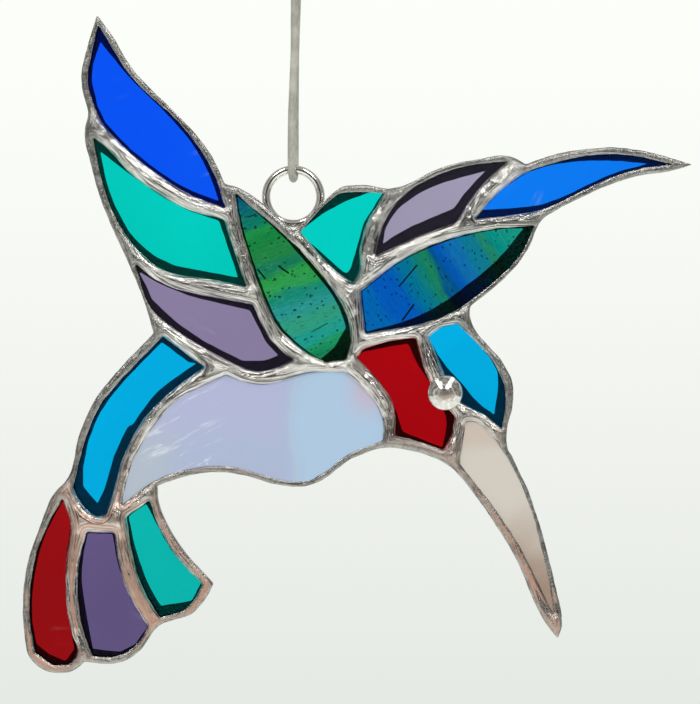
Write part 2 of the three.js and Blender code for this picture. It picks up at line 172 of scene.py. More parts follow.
class Shading:
    """A small builder of one material's or world's node tree."""

    def __init__(self, tree):
        self.tree = tree
        tree.nodes.clear()

    def add(self, kind, inputs=(), **settings):
        """Adds a shader node, sets its properties, and fills its inputs."""
        made = self.tree.nodes.new("ShaderNode" + kind)
        for key, value in settings.items():
            setattr(made, key, value)
        for key, value in dict(inputs).items():
            self.fill(made.inputs[key], value)
        return made

    def fill(self, socket, value):
        """Links a socket, or sets its constant."""
        if isinstance(value, bpy.types.Node):
            value = value.outputs[0]
        if isinstance(value, bpy.types.NodeSocket):
            self.tree.links.new(value, socket)
        elif hasattr(value, "__len__") and len(value) == 3 and socket.type == "RGBA":
            socket.default_value = (*value, 1.0)
        else:
            socket.default_value = value

    def place(self, turn=(0, 0, 0), stretch=(1, 1, 1), centre=(0, 0, 0)):
        """Object coordinates about a centre, turned in degrees and stretched."""
        coordinates = self.add("TexCoord").outputs["Object"]
        moved = self.add("VectorMath", {0: coordinates, 1: centre}, operation="SUBTRACT")
        turned = self.add("Mapping", {
            "Vector": moved, "Rotation": [math.radians(angle) for angle in turn],
        })
        return self.add("VectorMath", {0: turned, 1: stretch}, operation="MULTIPLY")

    def noise(self, vector, scale, detail=2.0, roughness=0.5, distortion=0.0):
        """Cloudy noise from 0 to 1."""
        return self.add("TexNoise", {
            "Vector": vector, "Scale": scale, "Detail": detail,
            "Roughness": roughness, "Distortion": distortion,
        }).outputs["Fac"]

    def math(self, operation, first, second=0.0, third=0.0):
        """One sum on numbers."""
        return self.add(
            "Math", {0: first, 1: second, 2: third}, operation=operation
        ).outputs[0]

    def times(self, first, second):
        """The product of two numbers."""
        return self.math("MULTIPLY", first, second)

    def vector(self, operation, *values):
        """One sum on vectors."""
        return self.add("VectorMath", dict(enumerate(values)), operation=operation)

    def ramp(self, value, low, high, start=0.0, end=1.0):
        """Maps a value smoothly from low..high to start..end."""
        return self.add("MapRange", {
            "Value": value, "From Min": low, "From Max": high, "To Min": start, "To Max": end,
        }, interpolation_type="SMOOTHSTEP").outputs[0]

    def mix(self, share, first, second):
        """Blends two colours."""
        made = self.tree.nodes.new("ShaderNodeMix")
        made.data_type = "RGBA"
        self.fill(made.inputs[0], share)
        self.fill(made.inputs[6], first)
        self.fill(made.inputs[7], second)
        return made.outputs[2]

    def bands(self, value, stops):
        """A colour ramp through (position, colour) stops."""
        made = self.add("ValToRGB", {"Fac": value})
        made.color_ramp.interpolation = "EASE"
        elements = made.color_ramp.elements
        while len(elements) < len(stops):
            elements.new(0.5)
        for element, (position, shade) in zip(elements, stops):
            element.position = position
            element.color = (*shade, 1.0)
        return made.outputs["Color"]

    def bump(self, height, depth, strength=1.0):
        """A normal from a height, in metres."""
        return self.add("Bump", {
            "Height": height, "Distance": depth, "Strength": strength,
        }).outputs["Normal"]

    def surface(self, **inputs):
        """The principled shader and the output. Underscores in names stand for spaces."""
        named = {key.replace("_", " "): value for key, value in inputs.items()}
        shader = self.add("BsdfPrincipled", named)
        self.add("OutputMaterial", {"Surface": shader.outputs[0]})
        return shader


def new_material(name):
    """An empty node material and its builder."""
    made = bpy.data.materials.new(name)
    made.use_nodes = True
    return made, Shading(made.node_tree)


def scaled(shade, factor):
    """A colour made darker or lighter."""
    return tuple(min(1.0, channel * factor) for channel in shade)


def dress(node_name, material):
    """Gives a CAD node its material."""
    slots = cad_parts[node_name].data.materials
    slots.clear()
    slots.append(material)


# ---- modelling by hand ----


def deselect():
    """Leaves nothing selected, in object mode."""
    if bpy.context.object and bpy.context.object.mode != "OBJECT":
        bpy.ops.object.mode_set(mode="OBJECT")
    bpy.ops.object.select_all(action="DESELECT")


def take(piece):
    """Makes a piece the only selected and active one."""
    deselect()
    piece.select_set(True)
    bpy.context.view_layer.objects.active = piece


def settle(piece):
    """Puts a piece's place into its mesh, so that its object sits at the origin."""
    take(piece)
    bpy.ops.object.transform_apply(location=True, rotation=True, scale=True)


def smooth(piece, angle):
    """Smooth shading, with sharp edges past an angle in degrees."""
    take(piece)
    bpy.ops.object.shade_smooth_by_angle(angle=math.radians(angle))


def mount(piece, material, slot, *nodes):
    """Finishes a piece: material, body, and the CAD nodes it stands for. The slot is not used."""
    if material:
        piece.data.materials.clear()
        piece.data.materials.append(material)
    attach(piece, "root")
    if nodes:
        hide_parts(*nodes)


def mesh_piece(name, vertices, faces):
    """A new object from points in metres and faces."""
    mesh = bpy.data.meshes.new(name)
    mesh.from_pydata([tuple(v) for v in vertices], [], [tuple(f) for f in faces])
    mesh.update()
    piece = bpy.data.objects.new(name, mesh)
    bpy.context.scene.collection.objects.link(piece)
    return piece


# ---- stage ----


def studio_world(world):
    """A bright backdrop, and a room that only the gloss sees."""
    world.use_nodes = True
    tree = Shading(world.node_tree)
    direction = tree.add("TexCoord").outputs["Generated"]
    split = tree.add("SeparateXYZ", {0: direction})
    drop = tree.ramp(split.outputs["Z"], -0.165, 0.12)
    backdrop = tree.mix(drop, linear(0xE2E6E0), linear(0xFDFFFA))

    front = (0.0, -1.0, 0.0)
    facing = tree.vector("DOT_PRODUCT", direction, front)
    away = tree.math("DIVIDE", tree.math("ARCCOSINE", facing.outputs["Value"]), math.pi)
    slant = tree.vector("DOT_PRODUCT", direction, (0.45, 0.0, 0.9))
    cloud = tree.noise(direction, 2.6, 3.0, 0.6)
    shift = tree.math("MULTIPLY_ADD", cloud, 0.34, -0.17)
    shift = tree.math("MULTIPLY_ADD", slant.outputs["Value"], 0.05, shift)
    settled = tree.ramp(away, 0.06, 0.2)
    away = tree.math("MULTIPLY_ADD", shift, settled, away)
    room = tree.bands(away, [
        (0.0, (0.035, 0.035, 0.035)),
        (0.07, (0.035, 0.035, 0.035)),
        (0.115, (0.16, 0.16, 0.155)),
        (0.15, (0.95, 0.94, 0.9)),
        (0.185, (0.06, 0.06, 0.057)),
        (0.24, (0.3, 0.29, 0.27)),
        (0.285, (0.95, 0.94, 0.89)),
        (0.33, (0.07, 0.07, 0.066)),
        (0.4, (0.5, 0.49, 0.46)),
        (0.46, (0.15, 0.15, 0.14)),
        (0.55, (0.75, 0.74, 0.68)),
        (0.66, (0.4, 0.4, 0.37)),
        (0.8, (0.95, 0.95, 0.9)),
    ])
    path = tree.add("LightPath").outputs
    mirrored = tree.math("SUBTRACT", path["Is Glossy Ray"], path["Is Transmission Ray"])
    mirrored = tree.math("MAXIMUM", mirrored, 0.0)
    shade = tree.mix(mirrored, backdrop, room)
    background = tree.add("Background", {"Color": shade, "Strength": 1.0})
    tree.add("OutputWorld", {"Surface": background.outputs[0]})


def soft_light(name, place, target, size, power, shade):
    """A rectangular soft light that faces a target."""
    light = bpy.data.lights.new(name, "AREA")
    light.shape = "RECTANGLE"
    light.size, light.size_y = size
    light.energy = power
    light.color = shade
    lamp = bpy.data.objects.new(name, light)
    lamp.location = place
    lamp.rotation_euler = (Vector(target) - Vector(place)).to_track_quat("-Z", "Y").to_euler()
    lamp.visible_camera = False
    bpy.context.scene.collection.objects.link(lamp)


VIEW_MIDDLE = Vector((14.25, 0, -39)) * MM  # from the ring's centre
STRIP_SIZE = (0.12, 0.5)
STRIP_POWER = 4.0
STRIP_SHADE = (1.0, 0.99, 0.96)
FLOOR_RADIUS = 1.5


class SUNCATCHER_OT_stage(bpy.types.Operator):
    """Sets the camera, the soft studio light and the pale floor"""

    bl_idname = "suncatcher.stage"
    bl_label = "Stage"

    def execute(self, context):
        studio = context.scene.suncatcher_studio
        context.scene.view_settings.view_transform = "Standard"
        world = bpy.data.worlds.new("studio-world")
        context.scene.world = world
        studio_world(world)

        glass_front = GLASS_MIDDLE - GLASS_HALF
        aim = Vector((VIEW_MIDDLE.x, glass_front, RING_CENTRE.z + VIEW_MIDDLE.z))
        data = bpy.data.cameras.new("studio-camera")
        data.lens = data.sensor_width * studio.distance / studio.view_height
        data.clip_start = 0.01
        camera = bpy.data.objects.new("studio-camera", data)
        camera.location = aim - Vector((0, studio.distance, 0))
        camera.rotation_euler = (math.radians(90), 0, 0)
        context.scene.collection.objects.link(camera)
        context.scene.camera = camera

        for side in (-1, 1):
            soft_light(
                f"strip-light-{side + 2}", aim + Vector((side * 0.42, -0.8, 0.75)), aim,
                STRIP_SIZE, STRIP_POWER, STRIP_SHADE,
            )

        deselect()
        bpy.ops.mesh.primitive_circle_add(
            vertices=96, radius=FLOOR_RADIUS, fill_type="NGON", location=(0, 0, -studio.floor_drop)
        )
        floor = context.object
        floor.name = "studio-floor"
        settle(floor)
        pale, tree = new_material("studio-floor")
        mottle = tree.noise(tree.place(), 6.0)
        tree.surface(
            Base_Color=tree.mix(mottle, (0.86, 0.87, 0.85), (0.9, 0.91, 0.89)), Roughness=0.7
        )
        floor.data.materials.append(pale)
        floor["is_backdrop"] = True
        return {"FINISHED"}


# ---- cord ----

# The cord's way about the ring's centre, in millimetres: up the front strand, round the loop
# over the hook, and down the rear strand.
FRONT_STRAND = [
    (-0.3, -2.7, 5.6), (-0.4, -3.8, 8.3), (-0.42, -3.4, 12.5), (-0.35, -2.5, 20),
    (-0.05, -1.7, 28), (0.25, -1.15, 36), (0.3, -1, 44), (0.2, -0.98, 50.6),
]
REAR_STRAND = [
    (0.3, 2.7, 5.6), (0.35, 3.8, 8.3), (0.38, 3.4, 12.5), (0.4, 2.5, 20),
    (0.45, 1.7, 28), (0.55, 1.15, 36), (0.8, 1, 44), (1, 0.98, 50.6),
]
UNDER_RING = (0, 0, 4.5)
HALF_LOOP = [(1.1, 0, 57.4), (2.5, 0, 59.4), (3.7, 0, 61.9), (3.6, 0, 64.6), (2.1, 0, 66.4)]
LOOP_TOP = (0, 0, 66.95)
CORD_STEP = 0.6 * MM  # between the rings of points along the cord
CORD_SIDES = 16
KNOT_STEPS = 96


def rounded_path(points, closed, step):
    """Points a step apart on the smooth curve through the given ones."""
    points = [Vector(p) for p in points]
    count = len(points)
    path = []
    for i in range(count if closed else count - 1):
        if closed:
            a, b, c, d = (points[(i + k) % count] for k in (-1, 0, 1, 2))
        else:
            a, b, c, d = (points[min(max(i + k, 0), count - 1)] for k in (-1, 0, 1, 2))
        pieces = max(2, round((c - b).length / step))
        for k in range(pieces):
            t = k / pieces
            path.append(0.5 * (
                2 * b + (c - a) * t + (2 * a - 5 * b + 4 * c - d) * t ** 2
                + (3 * b - a - 3 * c + d) * t ** 3
            ))
    if not closed:
        path.append(points[-1])
    return path


def closed_tube(name, path, radius, sides):
    """A tube round a closed path, with a section that doesn't twist, and its own UV map."""
    count = len(path)
    forward = [(path[(i + 1) % count] - path[i - 1]).normalized() for i in range(count)]
    side = forward[0].orthogonal().normalized()
    frames = []
    for along in forward:
        side = (side - along * side.dot(along)).normalized()
        frames.append((side.copy(), along.cross(side)))
    last = (side - forward[0] * side.dot(forward[0])).normalized()
    twist = math.atan2(last.dot(frames[0][1]), last.dot(frames[0][0]))
    vertices = []
    for i, (point, (across, up)) in enumerate(zip(path, frames)):
        for k in range(sides):
            angle = 2 * math.pi * k / sides - twist * i / count
            vertices.append(point + radius * (math.cos(angle) * across + math.sin(angle) * up))
    faces = []
    for i in range(count):
        j = (i + 1) % count
        for k in range(sides):
            m = (k + 1) % sides
            faces.append((i * sides + k, i * sides + m, j * sides + m, j * sides + k))
    piece = mesh_piece(name, vertices, faces)
    gaps = [(path[(i + 1) % count] - path[i]).length for i in range(count)]
    starts = np.concatenate([[0.0], np.cumsum(gaps)])
    uv = piece.data.uv_layers.new(name="UVMap")
    for polygon in piece.data.polygons:
        i, k = divmod(polygon.index, sides)
        corners = ((i, k), (i, k + 1), (i + 1, k + 1), (i + 1, k))
        for loop, (row, column) in zip(polygon.loop_indices, corners):
            uv.data[loop].uv = (column / sides, starts[row])
    return piece


def cord_material(shade):
    """Waxed, slightly see-through cord with fine lengthwise fibres."""
    material, tree = new_material("waxed-cord")
    along = tree.add("UVMap", uv_map="UVMap")
    fibres = tree.add("Mapping", {"Vector": along, "Scale": (26.0, 700.0, 1.0)})
    strands = tree.noise(fibres, 1.0, 3.0, 0.6)
    cloud = tree.noise(tree.place(), 220.0, 2.0)
    tone = tree.mix(tree.ramp(strands, 0.3, 0.7), scaled(shade, 0.72), scaled(shade, 1.12))
    tone = tree.mix(tree.ramp(cloud, 0.35, 0.75), tone, scaled(shade, 1.3))
    tree.surface(
        Base_Color=tone, Roughness=0.42, Transmission_Weight=0.25, IOR=1.46,
        Subsurface_Weight=0.2, Subsurface_Radius=(0.9 * MM, 0.9 * MM, 0.8 * MM),
        Subsurface_Scale=1.0,
        Normal=tree.bump(strands, 0.05 * MM),
    )
    return material


class SUNCATCHER_OT_cord(bpy.types.Operator):
    """Models the cord's closed loop and the knot that ties it"""

    bl_idname = "suncatcher.cord"
    bl_label = "Cord and knot"

    def execute(self, context):
        diameter = context.scene.suncatcher_sizes.cord_diameter
        material = cord_material(context.scene.suncatcher_colours.cord)
        other_half = [(-x, y, z) for x, y, z in HALF_LOOP]
        route = [UNDER_RING, *FRONT_STRAND, *other_half, LOOP_TOP, *HALF_LOOP[::-1], *REAR_STRAND[::-1]]
        points = [RING_CENTRE + Vector(p) * MM for p in route]
        path = rounded_path(points, True, CORD_STEP)
        cord = closed_tube("hanging-cord", path, diameter / 2, CORD_SIDES)
        smooth(cord, 60)
        mount(cord, material, "cord", "cord-strands", "cord-loop")

        knot = self.knot(diameter)
        smooth(knot, 60)
        mount(knot, material, "cord", "cord-knot")

        return {"FINISHED"}

    def knot(self, diameter):
        """An overhand knot drawn tight round the two strands."""
        centre = middle(KNOT_BOX)
        reach = half_size(KNOT_BOX)
        swing = (reach.x - diameter / 2) / 3
        rise = reach.z - diameter / 2
        path = []
        for i in range(KNOT_STEPS):
            t = 2 * math.pi * i / KNOT_STEPS
            path.append(centre + Vector((
                swing * (math.sin(t) + 2 * math.sin(2 * t)),
                swing * (math.cos(t) - 2 * math.cos(2 * t)),
                -rise * math.sin(3 * t),
            )))
        return closed_tube("overhand-knot", path, diameter / 2, CORD_SIDES)


# ---- glass ----


CLEARNESS = 1 / 0.93  # what the two faces of a pane reflect is made up for in its colour


def glass_surface(tree, tone, **more):
    """Clear glass of a colour, with the faint waves of a rolled sheet."""
    waves = tree.noise(tree.place(stretch=(1, 1, 1)), 55.0, 1.0)
    return tree.surface(
        Base_Color=tone, Roughness=0.0, IOR=1.48, Transmission_Weight=1.0,
        Normal=tree.bump(waves, 0.06 * MM), **more,
    )


def clear_glass(name, shade, wisp=0.0, turn=0.0):
    """Evenly coloured sheet glass with soft clouds and, if asked, a few pale wisps."""
    material, tree = new_material(name)
    cloud = tree.ramp(tree.noise(tree.place(), 28.0, 2.0), 0.3, 0.7)
    tone = tree.mix(cloud, scaled(shade, 0.96 * CLEARNESS), scaled(shade, 1.04 * CLEARNESS))
    if wisp:
        streaks = tree.noise(tree.place(turn=(0, turn, 0), stretch=(60, 60, 420)), 1.0, 3.0, 0.6)
        patches = tree.noise(tree.place(), 70.0, 1.0)
        share = tree.times(tree.ramp(streaks, 0.56, 0.7), tree.ramp(patches, 0.56, 0.7))
        pale = tuple(channel + (1 - channel) * 0.25 for channel in shade)
        tone = tree.mix(tree.times(share, wisp), tone, pale)
    glass_surface(tree, tone)
    return material


CLEAR_PANES = {
    "glass-near-wing-tip-cobalt": ("cobalt", 0.7, 20),
    "glass-near-wing-teal": ("teal", 0.15, 10),
    "glass-near-wing-lavender": ("lavender", 0.35, -30),
    "glass-shoulder-teal": ("shoulder_teal", 0.0, 0),
    "glass-far-wing-mauve": ("mauve", 0.1, 0),
    "glass-far-wing-tip-azure": ("azure", 0.6, 60),
    "glass-throat-red": ("ruby", 0.5, -30),
    "glass-head-sky": ("sky", 0.0, 0),
    "glass-rump-sky": ("sky", 0.0, 0),
    "glass-tail-red": ("dark_red", 0.2, 0),
    "glass-tail-purple": ("purple", 0.4, -30),
    "glass-tail-teal": ("deep_teal", 0.2, 0),
}


class SUNCATCHER_OT_clear_glass(bpy.types.Operator):
    """Colours the twelve clear panes"""

    bl_idname = "suncatcher.clear_glass"
    bl_label = "Clear glass"

    def execute(self, context):
        colours = context.scene.suncatcher_colours
        for node_name, (key, wisp, turn) in CLEAR_PANES.items():
            shade = tuple(getattr(colours, key))
            dress(node_name, clear_glass(node_name, shade, wisp, turn))
        return {"FINISHED"}


def specks(tree, scale, size, share, turn=0.0, stretch=1.0):
    """Small dark seeds scattered in the glass, drawn out along the streaks: 1 inside a seed."""
    place = tree.place(turn=(0, turn, 0), stretch=(1 / stretch, 0, 1))
    ragged = tree.add("TexNoise", {"Vector": place, "Scale": scale * 3}).outputs["Color"]
    place = tree.vector("MULTIPLY_ADD", ragged, (0.7 / scale,) * 3, place)
    cells = tree.add("TexVoronoi", {"Vector": place, "Scale": scale})
    small = tree.ramp(cells.outputs["Distance"], size, size * 0.6)
    chosen = tree.add("SeparateColor", {0: cells.outputs["Color"]}).outputs[0]
    return tree.times(small, tree.math("LESS_THAN", chosen, share))


def stroke(tree, start, end, width):
    """One drawn-out dark line in the glass, from start to end in millimetres: 1 inside it."""
    start, end = (Vector((x * MM, 0, z * MM)) for x, z in (start, end))
    place = tree.vector("MULTIPLY", tree.place(centre=RING_CENTRE), (1, 0, 1))
    run = end - start
    off = tree.vector("SUBTRACT", place, start)
    along = tree.vector("DOT_PRODUCT", off, run / run.length_squared).outputs["Value"]
    along = tree.add("Clamp", {"Value": along}).outputs[0]
    nearest = tree.add("VectorMath", {0: run, "Scale": along}, operation="SCALE")
    gap = tree.vector("DISTANCE", off, nearest)
    return tree.ramp(gap.outputs["Value"], width * 0.6, width * 0.35)


SEED_SHADE = (0.002, 0.008, 0.007)


def streaky_glass(name, turn, stops, strokes, pale):
    """Sheet glass with drawn streaks of several colours, seeds, strokes and fine grain.

    A stop is a distance across the streaks from the ring's centre, in millimetres, and the
    colour there. The turn is the streaks' slope in degrees."""
    material, tree = new_material(name)
    first, last = stops[0][0], stops[-1][0]
    across = tree.add(
        "SeparateXYZ", {0: tree.place(turn=(0, turn, 0), centre=RING_CENTRE)}
    ).outputs["Z"]
    drawn = tree.place(turn=(0, turn, 0), stretch=(55, 55, 260))
    swirl = tree.noise(drawn, 1.0, 4.0, 0.6, 0.6)
    across = tree.math("MULTIPLY_ADD", tree.math("SUBTRACT", swirl, 0.5), 7 * MM, across)
    share = tree.add("MapRange", {
        "Value": across, "From Min": first * MM, "From Max": last * MM,
    }).outputs[0]
    tone = tree.bands(share, [
        ((at - first) / (last - first), scaled(linear(shade), CLEARNESS)) for at, shade in stops
    ])
    grain = tree.noise(tree.place(turn=(0, turn, 0), stretch=(420, 420, 1900)), 1.0, 4.0, 0.7)
    patches = tree.ramp(tree.noise(tree.place(), 95.0, 2.0), 0.42, 0.68)
    lighter = tree.times(tree.ramp(grain, 0.52, 0.7), tree.ramp(patches, 0, 1, 0.25, 1))
    tone = tree.mix(tree.times(lighter, 0.4), tone, pale)
    tone = tree.mix(tree.ramp(grain, 0.46, 0.3, 0.0, 0.6), tone, scaled(linear(stops[0][1]), 0.45))
    for scale, size, amount in ((620.0, 0.23, 0.34), (1150.0, 0.3, 0.34), (330.0, 0.13, 0.25)):
        seeds = specks(tree, scale, size, amount, turn, 1.5)
        tone = tree.mix(tree.times(seeds, 0.85), tone, SEED_SHADE)
    for start, end, width in strokes:
        tone = tree.mix(stroke(tree, start, end, width * MM), tone, SEED_SHADE)
    glass_surface(tree, tone)
    return material


LEAF_STREAKS = [
    (-40, 0x148258), (-37, 0x1E9664), (-34.5, 0x1E9C92), (-31, 0x329C80), (-26.5, 0x289494),
    (-23, 0x148876), (-20.5, 0x2D9B50), (-17.5, 0x2A9A44), (-15, 0x147858), (-11.5, 0x228244),
    (-7.5, 0x148240), (-5.5, 0x1E8C48), (-3, 0x0A7864), (0, 0x087068), (3, 0x005078),
]
LEAF_STROKES = [
    ((-3.6, -17.5), (-1.2, -19.2), 0.45), ((-8.8, -18.4), (-7.0, -20.6), 0.45),
    ((4.6, -34.0), (8.6, -31.8), 0.2), ((-11.2, -5.2), (-9.4, -4.6), 0.25),
]
NAPE_STREAKS = [
    (4, 0x0064B4), (8, 0x0058BE), (12, 0x0058B9), (15.5, 0x007396), (18.6, 0x0F7D6E),
    (20.4, 0x198056), (22.4, 0x00508C), (24.5, 0x0055B4), (29, 0x0F6EB0), (33, 0x0A7896),
    (35, 0x1E8264), (37.5, 0x008C82), (42, 0x149682),
]
NAPE_STROKES = [((26.6, -22.5), (31.0, -17.3), 0.4), ((27.4, -31.0), (30.2, -27.2), 0.45)]


class SUNCATCHER_OT_streaky_glass(bpy.types.Operator):
    """Colours the two streaky leaves"""

    bl_idname = "suncatcher.streaky_glass"
    bl_label = "Streaky glass"

    def execute(self, context):
        leaf = streaky_glass(
            "glass-back-green", 20, LEAF_STREAKS, LEAF_STROKES, linear(0x6EC8A0)
        )
        dress("glass-back-green", leaf)
        nape = streaky_glass(
            "glass-nape-streaked", -60, NAPE_STREAKS, NAPE_STROKES, linear(0x46AAC8)
        )
        dress("glass-nape-streaked", nape)
        return {"FINISHED"}


def opal_glass(name, tone_of):
    """Milky glass that glows softly, under a polished face."""
    material, tree = new_material(name)
    tree.surface(
        Base_Color=tone_of(tree), Roughness=0.35, IOR=1.5, Transmission_Weight=0.12,
        Coat_Weight=0.6, Coat_Roughness=0.04,
    )
    return material


def belly_tone(shade):
    """The belly's lavender, blue and pink clouds with white wisps."""

    def tone_of(tree):
        place = tree.add("SeparateXYZ", {0: tree.place(centre=RING_CENTRE)})
        x, z = place.outputs["X"], place.outputs["Z"]
        cloud = tree.math("SUBTRACT", tree.noise(tree.place(), 45.0, 3.0, 0.55), 0.5)
        across = tree.math("MULTIPLY_ADD", cloud, 9 * MM, x)
        tone = tree.mix(tree.ramp(across, -3 * MM, 3 * MM), shade, linear(0xA0B9D4))
        tone = tree.mix(tree.ramp(across, -24 * MM, -38 * MM), tone, linear(0xA6B0C0))
        lilac = tree.ramp(tree.math("MULTIPLY_ADD", cloud, 20 * MM, z), -66 * MM, -54 * MM)
        lilac = tree.times(lilac, tree.ramp(across, 2 * MM, -6 * MM))
        tone = tree.mix(tree.times(lilac, 0.5), tone, linear(0xA9A8CE))
        pink = tree.times(tree.ramp(x, 11 * MM, 19 * MM), tree.ramp(z, -58 * MM, -48 * MM))
        tone = tree.mix(tree.times(pink, 0.75), tone, linear(0xBEA2B4))
        fold = tree.ramp(tree.math("ABSOLUTE", across), 1.2 * MM, 0.0)
        tone = tree.mix(tree.times(fold, 0.12), tone, linear(0xB2CFCB))
        drawn = tree.noise(tree.place(turn=(0, 28, 0), stretch=(75, 75, 520)), 1.0, 4.0, 0.65, 0.5)
        wisps = tree.times(tree.ramp(drawn, 0.52, 0.68), tree.ramp(x, -16 * MM, -24 * MM))
        wisps = tree.times(wisps, tree.ramp(x, -40 * MM, -34 * MM))
        tone = tree.mix(tree.times(wisps, 0.75), tone, linear(0xD6DBE2))
        seeds = specks(tree, 190.0, 0.07, 0.22)
        return tree.mix(tree.times(seeds, 0.6), tone, linear(0xE6EBF0))

    return tone_of


def beak_tone(shade):
    """The beak's pinkish white, tan at its top and a darker tan towards its tip."""

    def tone_of(tree):
        place = tree.add("SeparateXYZ", {0: tree.place(centre=RING_CENTRE)})
        cloud = tree.math("SUBTRACT", tree.noise(tree.place(), 90.0, 3.0), 0.5)
        height = tree.math("MULTIPLY_ADD", cloud, 14 * MM, place.outputs["Z"])
        top = tree.ramp(height, -66 * MM, -58 * MM, 0.0, 0.6)
        tone = tree.mix(top, shade, linear(0xBAA89D))
        return tree.mix(tree.ramp(height, -74 * MM, -100 * MM), tone, linear(0x967F71))

    return tone_of


class SUNCATCHER_OT_opal_glass(bpy.types.Operator):
    """Colours the opal belly and beak"""

    bl_idname = "suncatcher.opal_glass"
    bl_label = "Opal glass"

    def execute(self, context):
        colours = context.scene.suncatcher_colours
        dress("glass-belly-opal", opal_glass("glass-belly-opal", belly_tone(tuple(colours.belly))))
        dress("glass-beak-pink", opal_glass("glass-beak-pink", beak_tone(tuple(colours.beak))))
        return {"FINISHED"}


# ---- solder ----


def solder_material(shade):
    """Bright solder: drawn streaks, painted dark reflections along the beads, painted shade on the
    creased rims, and painted warm copper-coloured reflections in lines.
    """
    material, tree = new_material("bright-solder")
    place = tree.place(centre=RING_CENTRE)
    split = tree.add("SeparateXYZ", {0: place})
    edge = tree.add("Attribute", attribute_name="edge").outputs["Fac"]
    rim = tree.add("Attribute", attribute_name="rim").outputs["Fac"]

    def lengthwise(across, along, offset):
        slow = tree.vector("MULTIPLY", place, (along, along, along))
        row = tree.add("CombineXYZ", {"X": tree.math("MULTIPLY_ADD", edge, across, offset)})
        joined = tree.vector("ADD", slow, row)
        return tree.noise(joined, 1.0, 4.0, 0.62)

    streaks = lengthwise(4.0, 210.0, 0.0)
    broad = lengthwise(1.1, 70.0, 7.0)
    creases = tree.noise(place, 820.0, 4.0, 0.7, 0.8)
    stain = tree.noise(place, 240.0, 3.0, 0.6)

    tone = tree.mix(tree.ramp(stain, 0.35, 0.7), scaled(shade, 0.75), shade)
    # Painted reflection: dark streaks of the room mirrored in the beads, painted into the metal's
    # colour along the drawn streaks.
    tone = tree.mix(tree.ramp(streaks, 0.5, 0.57, 0.0, 0.88), tone, (0.07, 0.069, 0.066))
    # Painted shade: the rims' creases painted near black, and the thin rims painted a darker grey.
    crease_shade = tree.times(tree.ramp(creases, 0.5, 0.62), rim)
    tone = tree.mix(tree.times(crease_shade, 0.6), tone, (0.1, 0.1, 0.096))
    tone = tree.mix(tree.times(rim, 0.6), tone, (0.19, 0.19, 0.183))

    # Painted reflection: warm copper-coloured lines in the bead cores on the lower half, a reflection
    # of the room painted into the colour.
    low = tree.ramp(split.outputs["Z"], -30 * MM, -100 * MM, 0.0, 1.0)
    core = tree.times(tree.ramp(edge, 0.3, 0.75), low)
    amount = tree.times(tree.ramp(low, 0, 1, 0.3, 1.0), tree.ramp(broad, 0.4, 0.5))
    copper = tree.times(core, amount)
    copper = tree.times(copper, tree.ramp(streaks, 0.68, 0.58))
    tone = tree.mix(tree.times(copper, 0.9), tone, (0.6, 0.37, 0.285))

    matte = tree.ramp(stain, 0.3, 0.8, 0.08, 0.18)
    matte = tree.math("MULTIPLY_ADD", rim, 0.16, matte)
    matte = tree.math("MULTIPLY_ADD", copper, 0.3, matte)
    relief = tree.times(streaks, tree.ramp(rim, 0, 1, 1.0, 0.6))
    relief = tree.math("MULTIPLY_ADD", tree.times(creases, rim), 0.8, relief)
    relief = tree.math("MULTIPLY_ADD", tree.noise(place, 1500.0, 1.0), 0.08, relief)
    tree.surface(
        Base_Color=tone, Metallic=1.0, Roughness=matte, Normal=tree.bump(relief, 0.2 * MM),
    )
    return material


def foil_material(shade):
    """The foil's black backing, seen through the glass."""
    material, tree = new_material("black-foil-backing")
    cloud = tree.noise(tree.place(), 500.0, 3.0)
    tree.surface(
        Base_Color=tree.mix(tree.ramp(cloud, 0.3, 0.8), scaled(shade, 0.5), scaled(shade, 2.2)),
        Roughness=0.45,
    )
    return material


def section(node_name, y):
    """The closed loops where a CAD node crosses the plane at y, in millimetres, longest first."""
    cut = bmesh.new()
    cut.from_mesh(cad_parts[node_name].data)
    bmesh.ops.scale(cut, vec=(1 / MM,) * 3, verts=cut.verts)
    bmesh.ops.remove_doubles(cut, verts=cut.verts, dist=1e-4)
    bmesh.ops.bisect_plane(
        cut, geom=[*cut.verts, *cut.edges, *cut.faces], plane_co=(0, y / MM, 0),
        plane_no=(0, 1, 0), clear_inner=True, clear_outer=True,
    )
    bmesh.ops.remove_doubles(cut, verts=cut.verts, dist=1e-3)
    loops = []
    left = set(cut.verts)
    while left:
        start = vertex = left.pop()
        loop = [start]
        edge = start.link_edges[0]
        while True:
            vertex = edge.other_vert(vertex)
            if vertex == start:
                break
            left.discard(vertex)
            loop.append(vertex)
            edge = next(e for e in vertex.link_edges if e != edge)
        loops.append(np.array([(v.co.x, v.co.z) for v in loop]))
    cut.free()
    return sorted((bare(loop) for loop in loops), key=area, reverse=True)


def area(loop):
    """The area inside a closed loop."""
    following = np.roll(loop, -1, axis=0)
    return abs(np.sum(loop[:, 0] * following[:, 1] - loop[:, 1] * following[:, 0])) / 2


def bare(loop):
    """A loop, anticlockwise, without the points that lie on its straight lines."""
    following = np.roll(loop, -1, axis=0)
    if np.sum(loop[:, 0] * following[:, 1] - loop[:, 1] * following[:, 0]) < 0:
        loop = loop[::-1]
    first = min(range(len(loop)), key=lambda i: tuple(loop[i]))
    kept = list(np.roll(loop, -first, axis=0))  # so that every run starts at the same corner
    i = 0
    while i < len(kept):
        before, here, after = kept[i - 1], kept[i], kept[(i + 1) % len(kept)]
        line = after - before
        away = abs(line[0] * (here - before)[1] - line[1] * (here - before)[0])
        if away < 0.01 * np.hypot(*line):
            kept.pop(i)
        else:
            i += 1
    return np.array(kept)


